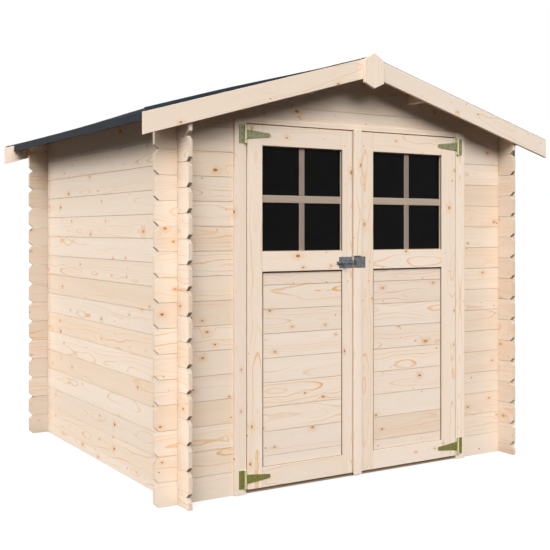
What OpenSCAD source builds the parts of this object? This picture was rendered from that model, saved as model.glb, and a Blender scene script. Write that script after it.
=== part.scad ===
// Garden shed of interlocking horizontal boards with a felted gable roof and
// a pair of half-glazed doors. Millimetres, +Z up, the front faces -Y and the
// origin is on the ground in the middle of the footprint.

/* [Wall boards] */
// Height that each wall board covers
board_h = 114; // [104:1:124]
// Thickness of the wall boards
board_t = 19; // [16:1:24]
// Length that board ends run past the wall they cross
end_run = 112; // [80:1:130]
// Length of the cut-off corners on the board ends
end_cut_l = 22; // [8:1:28]
// Height of the cut-off corners on the board ends
end_cut_h = 20; // [10:1:24]
// Height planed off the lowest boards
foot_trim = 4; // [0:1:8]
// Thickness of the tongues on the boards' upper edges
tongue_t = 8; // [5:0.5:9]
// Height of the tongues
tongue_h = 10; // [5:1:12]
// Room over the tongues in the grooves
groove_room = 2; // [1:0.5:3]

/* [Walls] */
// Width over the outer faces of the side walls
wall_w = 1996; // [1800:1:2300]
// Depth over the outer faces of the front and back walls
wall_d = 1834; // [1600:1:2200]
// Number of whole boards in the front and back walls up to the eaves
wall_rows = 15; // [13:1:17]
// Height of the roof boards' underside over those boards, at the outer faces of the side walls
eave_rise = 77; // [72:1:90]

/* [Roof] */
// Slope of the roof in degrees
roof_slope = 16; // [12:1:20]
// Level distance from the side walls to the ends of the bargeboards
eave_run = 222; // [180:1:260]
// Thickness of the roof boards
deck_t = 16; // [12:1:22]
// Width that each roof board covers
deck_board_w = 114; // [90:1:140]
// Thickness of the roofing felt
felt_t = 3; // [2:0.5:6]
// Height of the felt turned down over the eaves
felt_turn = 38; // [24:1:50]
// Distance that the turned-down felt lies behind the ends of the bargeboards
felt_back = 55; // [20:1:90]
// Width of the bargeboards
barge_w = 94; // [80:1:110]
// Thickness of the bargeboards
barge_t = 16; // [12:1:20]
// Distance from the centre line to the middle of each purlin
purlin_x = 345; // [280:1:420]
// Width of the purlins
purlin_w = 44; // [34:1:60]
// Height of the purlins
purlin_h = 82; // [60:1:110]
// Width of the finial boards at the ridge
finial_w = 118; // [90:1:140]
// Height of the straight sides of the finial boards
finial_side = 112; // [90:1:130]
// Height of the upper point of the finial boards
finial_top = 37; // [20:1:45]
// Height of the lower point of the finial boards
finial_foot = 27; // [15:1:40]
// Thickness of the finial boards
finial_t = 18; // [12:1:24]
// Rise of the finials' upper point above the roof boards at the ridge
finial_rise = 17; // [8:1:30]

/* [Door frame] */
// Clear width between the door jambs
doorway_w = 1302; // [1150:1:1400]
// Height of the eaves over the underside of the frame head
head_drop = 50; // [46:1:60]
// Width of the jambs seen from the front
jamb_w = 62; // [50:1:80]
// Thickness of the jamb in front of the wall boards, and behind them
jamb_flange = 16; // [12:1:22]
// Depth of the groove that takes the ends of the wall boards
jamb_groove = 25; // [15:1:35]
// Height of the frame head seen from the front
head_h = 24; // [20:1:30]
// Depth of the groove in the head that takes the wall board above
head_groove = 12; // [8:1:14]
// Distance that the head lies behind the face of the jambs
head_back = 6; // [5:1:8]
// Height of the door sill
sill_h = 14; // [10:1:15]

/* [Doors] */
// Height of the doors' lower edge above the ground
door_z = 20; // [20:1:30]
// Clearance above the doors
door_top_gap = 6; // [5:1:10]
// Clearance beside the doors at the jambs
door_side_gap = 5; // [5:0.5:8]
// Clearance between the two doors
meeting_gap = 7; // [6:0.5:10]
// Distance of the meeting line to the left of the centre line
meeting_x = 39; // [20:1:60]
// Thickness of the doors
leaf_t = 30; // [28:1:30]
// Width of the left door's stile on the hinge side
left_stile = 82; // [65:1:110]
// Width of the right door's stile on the hinge side
right_stile = 98; // [65:1:110]
// Distance from the centre line to the left door's window
left_pane_inset = 101; // [85:1:120]
// Distance from the centre line to the right door's window
right_pane_inset = 91; // [75:1:120]
// Height of the top rails
top_rail = 96; // [80:1:110]
// Height of the windows
pane_h = 501; // [420:1:560]
// Height of the middle rails
lock_rail = 94; // [80:1:110]
// Height of the bottom rails
bottom_rail = 95; // [80:1:110]
// Depth of the panel boards behind the face of the doors
panel_back = 12; // [8:1:14]
// Thickness of the panel boards
panel_t = 12; // [10:1:13]
// Height that each panel board covers
panel_board_h = 115.5; // [104:0.5:124]
// Height of the uppermost panel board below the middle rail
panel_top_h = 65; // [40:1:110]
// Depth of the grooves that hold the panel boards and the glass
leaf_groove = 10; // [6:1:14]
// Depth of the glass behind the face of the doors
glass_back = 19; // [14:1:21]
// Thickness of the glass
glass_t = 4; // [3:0.5:5]
// Width of the upright window bars
bar_w = 31; // [20:1:40]
// Height of the level window bars
cross_bar_h = 35; // [20:1:44]
// Thickness of the window bars
bar_t = 5; // [4:1:10]
// Width of the strip that covers the meeting line
strip_w = 46; // [36:1:60]
// Thickness of the cover strip
strip_t = 12; // [8:1:20]
// Length that the cover strip runs past the top and the foot of the door
strip_past = 10; // [4:1:12]
// Gap between the cover strip and the keeper of the bolt
strip_room = 4; // [2:1:10]

/* [Hinges] */
// Height of the lower hinges' middle over the lower edge of the doors
low_hinge_rise = 51; // [48:1:90]
// Height of the doors' upper edge over the upper hinges' middle
high_hinge_drop = 47; // [45:1:120]
// Height of the hinge plates on the jambs
plate_h = 86; // [70:1:90]
// Width of the hinge plates, measured from the pin
plate_w = 32; // [28:1:50]
// Height of the straps at the pin
strap_h = 45; // [36:1:50]
// Height of the straps at the tip
strap_tip_h = 20; // [12:1:26]
// Length of the straps from the pin
strap_l = 138; // [100:1:180]
// Thickness of the hinge metal
hinge_t = 2.5; // [2:0.25:3]
// Outer diameter of the hinge knuckles
knuckle_d = 12; // [11:0.5:14]
// Diameter of the hinge pins
pin_d = 6; // [4:0.5:7]
// Distance from the hinge pin's middle to the edge of the doorway
pin_x = 8; // [6:0.5:12]

/* [Bolt] */
// Height of the bolt's middle over the panels of the doors
bolt_rise = 36; // [30:1:60]
// Diameter of the bolt
bolt_d = 12; // [10:0.5:14]
// Length of the bolt
bolt_l = 92; // [88:1:100]
// Length of the bolt's travel
bolt_travel = 30; // [26:1:32]
// Distance from the tip of the drawn bolt to the end of its plate
bolt_tip_back = 1; // [1:0.5:4]
// Height of the bolt's plates
bolt_plate_h = 55; // [46:1:64]
// Length of the plate on the left door
bolt_plate_l = 77; // [74:1:84]
// Distance from the bolt's plate to the meeting edge of the left door
bolt_plate_edge = 2; // [1:0.5:6]
// Distance from the end of that plate to its first staple
first_staple = 8; // [0:1:10]
// Length of the keeper plate on the right door
keeper_l = 73; // [40:1:80]
// Distance from the keeper plate to the meeting edge of the right door
keeper_edge = 2; // [1:0.5:5]
// Distance from the end of the keeper plate to its loop
keeper_in = 5; // [4:1:8]
// Thickness of the bolt's plates
bolt_plate_t = 2; // [1.5:0.25:3]
// Length of each bolt staple
staple_l = 12; // [10:1:14]
// Thickness of the metal round the bolt in the staples
staple_t = 3; // [2:0.5:4]
// Clearance of the bolt from the plates behind it and from the keeper's loop
keeper_play = 1.5; // [1:0.25:2.5]
// Width of the bolt's handle
handle_w = 6; // [5:0.5:8]
// Distance from the handle to the staple it stops short of when the bolt is thrown
handle_gap = 5; // [5:0.5:8]
// Length that the handle hangs below the bolt's middle
handle_l = 30; // [22:1:36]

/* [Floor] */
// Thickness of the floor bearers
bearer_t = 22; // [18:1:30]
// Width of the floor bearers
bearer_w = 60; // [40:1:90]
// Number of floor bearers
bearer_n = 5; // [3:1:7]
// Thickness of the floor boards
floor_t = 18; // [14:1:22]
// Width that each floor board covers
floor_board_w = 114; // [90:1:140]

/* [Fits] */
// Gap between pieces that seat on each other
seat = 0.3; // [0.2:0.05:0.4]
// Clearance round the hinge pins and the bolt
running = 0.3; // [0.2:0.05:0.5]
// Clearance of turning hinge knuckles from fixed ones
knuckle_gap = 0.5; // [0.4:0.1:1]

/* [Hidden] */

$fn = 48;
LEFT = -1;
RIGHT = 1;
FRONT = -1;
BACK = 1;

pine = [0.93, 0.84, 0.74];
pale_pine = [0.95, 0.87, 0.78];
felt_grey = [0.25, 0.27, 0.30];
olive_zinc = [0.50, 0.51, 0.25];
zinc = [0.45, 0.47, 0.48];
dark_glass = [0.10, 0.10, 0.10];
bar_brown = [0.58, 0.53, 0.47];

half_w = wall_w / 2;
half_d = wall_d / 2;
inner_w = half_w - board_t;
inner_d = half_d - board_t;
over_w = half_w + end_run;
over_d = half_d + end_run;
front_y = -half_d;

slope_tan = tan(roof_slope);
eave_z = wall_rows * board_h - foot_trim + eave_rise;
deck_rise = deck_t / cos(roof_slope);
deck_edge = half_w + eave_run - felt_t - 2 * seat - felt_back;
barge_end = half_w + eave_run;
barge_rise = barge_w / cos(roof_slope);
barge_face = over_d + seat + barge_t;
ridge_under = eave_z + half_w * slope_tan;
ridge_top = ridge_under + deck_rise;

side_rows = wall_rows + 1;
gable_rows = floor((ridge_under + foot_trim) / board_h - 0.5);
tongue_in = (board_t - tongue_t) / 2;

floor_top = bearer_t + seat + floor_t;
doorway_h = eave_z - head_drop;
jamb_face_y = front_y - jamb_flange;
jamb_back_y = front_y + board_t + jamb_flange;
jamb_in = doorway_w / 2;
jamb_out = jamb_in + jamb_w;
groove_x = jamb_out - jamb_groove;
head_top = doorway_h + head_h;
head_cut_z = head_top - head_groove;

face_y = jamb_face_y - knuckle_gap;
door_top = doorway_h - door_top_gap;
leaf_edge_x = jamb_in - door_side_gap;
left_meet = -meeting_x - meeting_gap / 2;
right_meet = -meeting_x + meeting_gap / 2;
left_pane_out = leaf_edge_x - left_stile;
right_pane_out = leaf_edge_x - right_stile;
pane_top = door_top - top_rail;
pane_foot = pane_top - pane_h;
panel_top = pane_foot - lock_rail;
panel_foot = door_z + bottom_rail;

pin_y = face_y - knuckle_d / 2 - knuckle_gap;
axis_x = jamb_in + pin_x;
low_hinge_z = door_z + low_hinge_rise;
high_hinge_z = door_top - high_hinge_drop;

bolt_z = panel_top + bolt_rise;
plate_back_y = face_y - seat;
bolt_y = plate_back_y - bolt_plate_t - keeper_play - bolt_d / 2;
loop_half = bolt_d / 2 + keeper_play;
staple_d = bolt_d + 2 * running + 2 * staple_t;
bolt_plate_x0 = left_meet - bolt_plate_edge - bolt_plate_l;
first_staple_x = bolt_plate_x0 + first_staple;
last_staple_x = bolt_plate_x0 + bolt_plate_l - staple_l;
keeper_x0 = right_meet + keeper_edge;

// Height of the roof boards' underside at a distance from the centre line
function under_z(x) = eave_z + (half_w - abs(x)) * slope_tan;

// Height of the roof boards' upper face at a distance from the centre line
function top_z(x) = under_z(x) + deck_rise;

// Lower edge of a board row: front and back rows lie half a board above side rows
function row_z(row, shift) = max(0, (row + shift) * board_h - foot_trim);

// Outline of a chamfered board end, from the foot to the top, at x running outwards along dir
function end_points(x, dir, z0, z1, cut_foot) = concat(
    cut_foot ? [[x - dir * end_cut_l, z0], [x, z0 + end_cut_h]] : [[x, z0]],
    [[x, z1 - end_cut_h], [x - dir * end_cut_l, z1]]
);

// One wall board seen from the side, from x0 to x1, with cut-off corners at the ends
// that run past a corner and plain saw cuts at the others
module board_outline(x0, x1, z0, z1, cut0, cut1, cut_foot) {
    low = z0 + (z0 > 0 ? seat / 2 : 0);
    high = z1 - seat / 2;
    start = cut0 ? end_points(x0, -1, low, high, cut_foot) : [[x0, low], [x0, high]];
    stop = cut1 ? end_points(x1, 1, low, high, cut_foot) : [[x1, low], [x1, high]];
    polygon(concat([for (i = [len(start) - 1:-1:0]) start[i]], stop));
}

// Quarter-board notches, top and bottom, where a board of middle height mid_z crosses a wall
module crossing_cuts(x0, mid_z) {
    for (side = [-1, 1])
        translate([x0 - seat, mid_z + side * (board_h / 4 - seat / 2) + (side < 0 ? -board_h : 0)])
            square([board_t + 2 * seat, board_h]);
}

// What lies over the underside of the roof boards, seen from the front
module over_roof() {
    polygon([
        [-barge_end, under_z(barge_end) - seat], [0, ridge_under - seat],
        [barge_end, under_z(barge_end) - seat], [barge_end, 2 * ridge_top], [-barge_end, 2 * ridge_top]
    ]);
}

// The room that a purlin takes in a gable, seen from the front
module purlin_cut(side) {
    x = side * purlin_x;
    translate([x - purlin_w / 2 - seat, under_z(x) - purlin_h - seat])
        square([purlin_w + 2 * seat, 2 * purlin_h]);
}

// Stands an outline drawn in X and Z up as a plate from y to y + t
module stand_x(y, t) {
    translate([0, y + t, 0])
        rotate([90, 0, 0])
            linear_extrude(t)
                children();
}

// Stands an outline drawn in Y and Z up as a plate from x to x + t
module stand_y(x, t) {
    translate([x, 0, 0])
        rotate([90, 0, 90])
            linear_extrude(t)
                children();
}

// Stands an outline up along X or along Y
module stand(along_x, at, t) {
    if (along_x)
        stand_x(at, t)
            children();
    else
        stand_y(at, t)
            children();
}

// One board of a wall whose outer or inner face is at a distance from the middle: tongued above, between
// the walls that it crosses, and grooved below where it meets another board, less the outlines that
// follow as children
module wall_board(along_x, at, x0, x1, z0, z1, cut0, cut1, cut_foot, grooved, tongued) {
    tongue_x0 = x0 + (cut0 ? end_run : 0);
    tongue_x1 = x1 - (cut1 ? end_run : 0);
    difference() {
        union() {
            stand(along_x, at, board_t)
                difference() {
                    board_outline(x0, x1, z0, z1, cut0, cut1, cut_foot);
                    children();
                }
            if (tongued)
                stand(along_x, at + tongue_in, tongue_t)
                    difference() {
                        translate([tongue_x0, z1 - tongue_h])
                            square([tongue_x1 - tongue_x0, 2 * tongue_h]);
                        children();
                    }
        }
        if (grooved)
            stand(along_x, at + tongue_in - seat, tongue_t + 2 * seat)
                translate([x0 - board_t, z0 - board_t])
                    square([x1 - x0 + 2 * board_t, board_t + tongue_h + groove_room]);
    }
}

// A row of a front or back wall between two ends, which cross the side walls where they run past them
module long_row(y, row, x0, x1) {
    mid_z = (row + 0.5) * board_h - foot_trim;
    wall_board(
        true, y, x0, x1, row_z(row, 0), row_z(row + 1, 0), x0 < -half_w, x1 > half_w, true, row > 0, true
    ) {
        crossing_cuts(-half_w, mid_z);
        crossing_cuts(inner_w, mid_z);
    }
}

// The rows over the eaves, cut to the roof and notched for the purlins
module gable(y, doorway) {
    for (row = [wall_rows:gable_rows]) {
        top = row == gable_rows ? ridge_under : row_z(row + 1, 0);
        mid_z = (row + 0.5) * board_h - foot_trim;
        wall_board(
            true, y, -over_w, over_w, row_z(row, 0), top, true, true, true, true, row < gable_rows
        ) {
            over_roof();
            crossing_cuts(-half_w, mid_z);
            crossing_cuts(inner_w, mid_z);
            purlin_cut(LEFT);
            purlin_cut(RIGHT);
            if (doorway)
                translate([-groove_x - seat, 0])
                    square([2 * (groove_x + seat), head_cut_z + seat]);
        }
    }
}

// A side wall: half a board at the foot, whole boards, and a rip under the roof
module side_wall(side) {
    x = side < 0 ? -half_w : inner_w;
    for (row = [0:side_rows - 1]) {
        mid_z = row * board_h - foot_trim;
        wall_board(
            false, x, -over_d, over_d, row_z(row, -0.5), row_z(row, 0.5), true, true,
            row > 0, row > 0, row < side_rows - 1
        ) {
            crossing_cuts(-half_d, mid_z);
            crossing_cuts(inner_d, mid_z);
        }
    }
    stand_x(-inner_d + seat, 2 * (inner_d - seat))
        difference() {
            translate([x, row_z(side_rows, -0.5) + seat / 2])
                square([board_t, board_h]);
            over_roof();
        }
}

module left_wall() {
    color(pine)
        side_wall(LEFT);
}

module right_wall() {
    color(pine)
        side_wall(RIGHT);
}

module back_wall() {
    color(pine)
        for (row = [0:wall_rows - 1])
            long_row(inner_d, row, -over_w, over_w);
}

module back_gable() {
    color(pine)
        gable(inner_d, false);
}

module front_wall_left() {
    color(pine)
        for (row = [0:wall_rows - 1])
            long_row(-half_d, row, -over_w, -groove_x - seat);
}

module front_wall_right() {
    color(pine)
        for (row = [0:wall_rows - 1])
            long_row(-half_d, row, groove_x + seat, over_w);
}

module front_gable() {
    color(pine)
        gable(-half_d, true);
}

// Bearers laid flat across the shed, under the floor boards
module floor_bearers() {
    pitch = (2 * (inner_d - seat) - bearer_w) / (bearer_n - 1);
    color(pine)
        for (i = [0:bearer_n - 1])
            translate([-inner_w + seat, -inner_d + seat + i * pitch, 0])
                cube([2 * (inner_w - seat), bearer_w, bearer_t]);
}

module floor_boards() {
    room = 2 * (inner_w - seat);
    count = round(room / floor_board_w);
    pitch = room / count;
    color(pale_pine)
        for (i = [0:count - 1])
            translate([-inner_w + seat + i * pitch, -inner_d + seat, bearer_t + seat])
                cube([pitch - seat, 2 * (inner_d - seat), floor_t]);
}

module door_sill() {
    color(pine)
        translate([-jamb_in + seat, front_y, 0])
            cube([2 * (jamb_in - seat), board_t, sill_h]);
}

// A jamb: a post that slips over the sawn ends of the wall boards and, inside, stands on the floor
module jamb(side) {
    mirror([side < 0 ? 1 : 0, 0, 0]) {
        difference() {
            translate([jamb_in, jamb_face_y, 0])
                cube([jamb_w, jamb_back_y - jamb_face_y, head_top]);
            translate([groove_x, front_y - seat, -seat])
                cube([jamb_w, board_t + 2 * seat, head_top + 2 * seat]);
            translate([jamb_in - seat, front_y - seat, head_cut_z])
                cube([jamb_w, board_t + 2 * seat, head_h]);
            translate([jamb_in - seat, front_y + board_t, -seat])
                cube([jamb_w + 2 * seat, jamb_flange + seat, floor_top + 2 * seat]);
        }
    }
}

module left_jamb() {
    color(pale_pine)
        jamb(LEFT);
}

module right_jamb() {
    color(pale_pine)
        jamb(RIGHT);
}

// The head: a channel that slips over the board above the doors
module door_head() {
    color(pale_pine)
        difference() {
            translate([-jamb_in + seat, jamb_face_y + head_back, doorway_h])
                cube([2 * (jamb_in - seat), jamb_back_y - jamb_face_y - head_back, head_h]);
            translate([-jamb_in, front_y - seat, head_cut_z])
                cube([2 * jamb_in, board_t + 2 * seat, head_h]);
        }
}

// A purlin with its upper face planed to the slope
module purlin(side) {
    x0 = purlin_x - purlin_w / 2;
    x1 = purlin_x + purlin_w / 2;
    foot = under_z(purlin_x) - purlin_h;
    mirror([side < 0 ? 1 : 0, 0, 0])
        stand_x(-over_d, 2 * over_d)
            polygon([[x0, foot], [x1, foot], [x1, under_z(x1) - seat], [x0, under_z(x0) - seat]]);
}

module left_purlin() {
    color(pine)
        purlin(LEFT);
}

module right_purlin() {
    color(pine)
        purlin(RIGHT);
}

// Roof boards that run from the ridge to the eave, side by side along the shed
module roof_boards(side) {
    count = round(2 * over_d / deck_board_w);
    pitch = 2 * over_d / count;
    mirror([side < 0 ? 1 : 0, 0, 0])
        for (i = [0:count - 1])
            stand_x(-over_d + i * pitch + seat / 2, pitch - seat)
                polygon([
                    [seat / 2, under_z(seat / 2)], [deck_edge, under_z(deck_edge)],
                    [deck_edge, top_z(deck_edge)], [seat / 2, top_z(seat / 2)]
                ]);
}

module left_roof_boards() {
    color(pine)
        roof_boards(LEFT);
}

module right_roof_boards() {
    color(pine)
        roof_boards(RIGHT);
}

// Felt that covers one slope and the bargeboards, and turns down over the eave between them
module roof_felt(side) {
    in_x = deck_edge + seat;
    out_x = in_x + felt_t;
    mirror([side < 0 ? 1 : 0, 0, 0]) {
        stand_x(-barge_face, 2 * barge_face)
            polygon([
                [seat / 2, top_z(0) + seat], [out_x, top_z(out_x) + seat],
                [out_x, top_z(out_x) + seat + felt_t], [seat / 2, top_z(0) + seat + felt_t]
            ]);
        stand_x(-over_d, 2 * over_d)
            polygon([
                [in_x, top_z(in_x) - felt_turn], [out_x, top_z(in_x) - felt_turn],
                [out_x, top_z(out_x) + seat + felt_t], [in_x, top_z(in_x) + seat + felt_t]
            ]);
    }
}

module left_roof_felt() {
    color(felt_grey)
        roof_felt(LEFT);
}

module right_roof_felt() {
    color(felt_grey)
        roof_felt(RIGHT);
}

// A bargeboard across one end of one slope, with plumb cuts at both its ends
module bargeboard(side, end) {
    y = end < 0 ? -barge_face : barge_face - barge_t;
    mirror([side < 0 ? 1 : 0, 0, 0])
        stand_x(y, barge_t)
            polygon([
                [seat / 2, top_z(0) - barge_rise], [seat / 2, top_z(0)],
                [barge_end, top_z(barge_end)], [barge_end, top_z(barge_end) - barge_rise]
            ]);
}

module front_left_bargeboard() {
    color(pale_pine)
        bargeboard(LEFT, FRONT);
}

module front_right_bargeboard() {
    color(pale_pine)
        bargeboard(RIGHT, FRONT);
}

module back_left_bargeboard() {
    color(pale_pine)
        bargeboard(LEFT, BACK);
}

module back_right_bargeboard() {
    color(pale_pine)
        bargeboard(RIGHT, BACK);
}

// A six-sided board over the joint of two bargeboards
module finial(end) {
    y = end < 0 ? -barge_face - seat - finial_t : barge_face + seat;
    peak = ridge_top + finial_rise;
    shoulder = peak - finial_top;
    hip = shoulder - finial_side;
    stand_x(y, finial_t)
        polygon([
            [0, peak], [-finial_w / 2, shoulder], [-finial_w / 2, hip],
            [0, hip - finial_foot], [finial_w / 2, hip], [finial_w / 2, shoulder]
        ]);
}

module front_finial() {
    color(pale_pine)
        finial(FRONT);
}

module back_finial() {
    color(pale_pine)
        finial(BACK);
}

// Stiles and rails of one door, grooved for the panel boards and the glass
module door_frame(x0, x1, pane0, pane1) {
    difference() {
        translate([x0, face_y, door_z])
            cube([x1 - x0, leaf_t, door_top - door_z]);
        for (hole = [[pane_foot, pane_top], [panel_foot, panel_top]])
            translate([pane0, face_y - leaf_t, hole[0]])
                cube([pane1 - pane0, 3 * leaf_t, hole[1] - hole[0]]);
        translate([pane0 - leaf_groove - seat, face_y + glass_back - seat, pane_foot - leaf_groove - seat])
            cube([
                pane1 - pane0 + 2 * (leaf_groove + seat), glass_t + 2 * seat,
                pane_h + 2 * (leaf_groove + seat)
            ]);
        translate([pane0 - leaf_groove - seat, face_y + panel_back - seat, panel_foot - leaf_groove - seat])
            cube([
                pane1 - pane0 + 2 * (leaf_groove + seat), panel_t + 2 * seat,
                panel_top - panel_foot + 2 * (leaf_groove + seat)
            ]);
    }
}

// Panel boards of one door, in line with each other and cut to the frame's grooves
module door_panel(pane0, pane1) {
    foot = panel_foot - leaf_groove;
    first_joint = panel_top - panel_top_h;
    count = ceil((first_joint - foot) / panel_board_h);
    for (row = [0:count]) {
        z1 = row == 0 ? panel_top + leaf_groove : first_joint - (row - 1) * panel_board_h;
        z0 = row == count ? foot : first_joint - row * panel_board_h + seat;
        translate([pane0 - leaf_groove, face_y + panel_back, z0])
            cube([pane1 - pane0 + 2 * leaf_groove, panel_t, z1 - z0]);
    }
}

module door_glass(pane0, pane1) {
    translate([pane0 - leaf_groove, face_y + glass_back, pane_foot - leaf_groove])
        cube([pane1 - pane0 + 2 * leaf_groove, glass_t, pane_h + 2 * leaf_groove]);
}

// A cross of two lapped bars in front of the glass
module door_bars(pane0, pane1) {
    y = face_y + glass_back - seat - bar_t;
    translate([(pane0 + pane1) / 2 - bar_w / 2, y, pane_foot + seat])
        cube([bar_w, bar_t, pane_h - 2 * seat]);
    translate([pane0 + seat, y, (pane_foot + pane_top) / 2 - cross_bar_h / 2])
        cube([pane1 - pane0 - 2 * seat, bar_t, cross_bar_h]);
}

module left_door_frame() {
    color(pale_pine)
        door_frame(-leaf_edge_x, left_meet, -left_pane_out, -left_pane_inset);
}

module right_door_frame() {
    color(pale_pine)
        door_frame(right_meet, leaf_edge_x, right_pane_inset, right_pane_out);
}

module left_door_panel() {
    color(pine)
        door_panel(-left_pane_out, -left_pane_inset);
}

module right_door_panel() {
    color(pine)
        door_panel(right_pane_inset, right_pane_out);
}

module left_door_glass() {
    color(dark_glass)
        door_glass(-left_pane_out, -left_pane_inset);
}

module right_door_glass() {
    color(dark_glass)
        door_glass(right_pane_inset, right_pane_out);
}

module left_door_bars() {
    color(bar_brown)
        door_bars(-left_pane_out, -left_pane_inset);
}

module right_door_bars() {
    color(bar_brown)
        door_bars(right_pane_inset, right_pane_out);
}

// The strip on the right door's meeting edge, in two lengths with room for the keeper between them
module cover_strip() {
    y = face_y - seat - strip_t;
    room = bolt_plate_h / 2 + strip_room;
    foot = door_z - strip_past;
    top = door_top + strip_past;
    color(pale_pine) {
        translate([right_meet, y, foot])
            cube([strip_w, strip_t, bolt_z - room - foot]);
        translate([right_meet, y, bolt_z + room])
            cube([strip_w, strip_t, top - bolt_z - room]);
    }
}

// The fixed half of one hinge: a plate on the jamb, the outer knuckles and the pin
module hinge_plate(side, z) {
    plate_y = jamb_face_y - seat - hinge_t;
    outer = (plate_h - strap_h) / 2 - knuckle_gap;
    translate([side * axis_x, 0, z])
        mirror([side < 0 ? 1 : 0, 0, 0]) {
            difference() {
                translate([0, plate_y, -plate_h / 2])
                    cube([plate_w, hinge_t, plate_h]);
                translate([0, pin_y, -strap_h / 2 - knuckle_gap])
                    cylinder(d = knuckle_d + 2 * knuckle_gap, h = strap_h + 2 * knuckle_gap);
            }
            for (foot = [-plate_h / 2, plate_h / 2 - outer])
                translate([0, pin_y, foot])
                    cylinder(d = knuckle_d, h = outer);
            translate([0, pin_y, -plate_h / 2])
                cylinder(d = pin_d, h = plate_h);
        }
}

// The moving half of one hinge: a tapered strap with a round tip and the middle knuckle
module hinge_strap(side, z) {
    strap_y = face_y - seat - hinge_t;
    root = -side * pin_d / 4;
    tip = -side * (strap_l - strap_tip_h / 2);
    tip_half = strap_tip_h / 2 - seat;
    translate([side * axis_x, 0, z])
        difference() {
            union() {
                stand_x(strap_y, hinge_t) {
                    polygon([[root, -strap_h / 2], [tip, -tip_half], [tip, tip_half], [root, strap_h / 2]]);
                    translate([tip, 0])
                        circle(d = strap_tip_h);
                }
                translate([0, pin_y, -strap_h / 2])
                    cylinder(d = knuckle_d, h = strap_h);
            }
            translate([0, pin_y, -strap_h])
                cylinder(d = pin_d + 2 * running, h = 2 * strap_h);
        }
}

module left_hinge_plates() {
    color(olive_zinc)
        for (z = [low_hinge_z, high_hinge_z])
            hinge_plate(LEFT, z);
}

module right_hinge_plates() {
    color(olive_zinc)
        for (z = [low_hinge_z, high_hinge_z])
            hinge_plate(RIGHT, z);
}

module left_hinge_straps() {
    color(olive_zinc)
        for (z = [low_hinge_z, high_hinge_z])
            hinge_strap(LEFT, z);
}

module right_hinge_straps() {
    color(olive_zinc)
        for (z = [low_hinge_z, high_hinge_z])
            hinge_strap(RIGHT, z);
}

// A plate that the bolt lies in front of, from x0 on
module bolt_back_plate(x0, length) {
    translate([x0, plate_back_y - bolt_plate_t, bolt_z - bolt_plate_h / 2])
        cube([length, bolt_plate_t, bolt_plate_h]);
}

// A round staple that guides the bolt, from x on
module staple(x) {
    translate([x, bolt_y, bolt_z])
        rotate([0, 90, 0])
            cylinder(d = staple_d, h = staple_l);
    translate([x, bolt_y, bolt_z - staple_d / 2])
        cube([staple_l, plate_back_y - bolt_y, staple_d]);
}

module bolt_plate() {
    color(zinc)
        difference() {
            union() {
                bolt_back_plate(bolt_plate_x0, bolt_plate_l);
                staple(first_staple_x);
                staple(last_staple_x);
            }
            translate([bolt_plate_x0 - seat, bolt_y, bolt_z])
                rotate([0, 90, 0])
                    cylinder(d = bolt_d + 2 * running, h = bolt_plate_l + 2 * seat);
            translate([bolt_plate_x0 - seat, plate_back_y, bolt_z - bolt_plate_h])
                cube([bolt_plate_l + 2 * seat, staple_d, 2 * bolt_plate_h]);
        }
}

// The keeper: a plate with a square loop that the bolt slides into
module bolt_keeper() {
    loop_x = keeper_x0 + keeper_in;
    loop_out = loop_half + staple_t;
    color(zinc)
        difference() {
            union() {
                bolt_back_plate(keeper_x0, keeper_l);
                translate([loop_x, bolt_y - loop_out, bolt_z - loop_out])
                    cube([staple_l, plate_back_y - bolt_y + loop_out, 2 * loop_out]);
            }
            translate([loop_x - seat, bolt_y - loop_half, bolt_z - loop_half])
                cube([staple_l + 2 * seat, 2 * loop_half, 2 * loop_half]);
        }
}

// The bolt, drawn back, with a flat handle that hangs between the staples
module bolt() {
    tip = bolt_plate_x0 + bolt_plate_l - bolt_tip_back;
    handle_x = last_staple_x - handle_gap - handle_w - bolt_travel;
    color(zinc) {
        translate([tip - bolt_l, bolt_y, bolt_z])
            rotate([0, 90, 0])
                cylinder(d = bolt_d, h = bolt_l);
        translate([handle_x, bolt_y - bolt_d / 2 - staple_t, bolt_z - handle_l])
            cube([handle_w, staple_t + bolt_d / 4, handle_l]);
    }
}

floor_bearers();
floor_boards();
door_sill();
left_wall();
right_wall();
back_wall();
back_gable();
front_wall_left();
front_wall_right();
front_gable();
left_jamb();
right_jamb();
door_head();
left_purlin();
right_purlin();
left_roof_boards();
right_roof_boards();
left_roof_felt();
right_roof_felt();
front_left_bargeboard();
front_right_bargeboard();
back_left_bargeboard();
back_right_bargeboard();
front_finial();
back_finial();
left_hinge_plates();
right_hinge_plates();
left_door_frame();
left_door_panel();
left_door_glass();
left_door_bars();
left_hinge_straps();
bolt_plate();
bolt();
right_door_frame();
right_door_panel();
right_door_glass();
right_door_bars();
right_hinge_straps();
cover_strip();
bolt_keeper();
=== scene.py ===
"""Looks of a wooden garden shed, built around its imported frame."""

import math
import random
from collections import namedtuple

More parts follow.
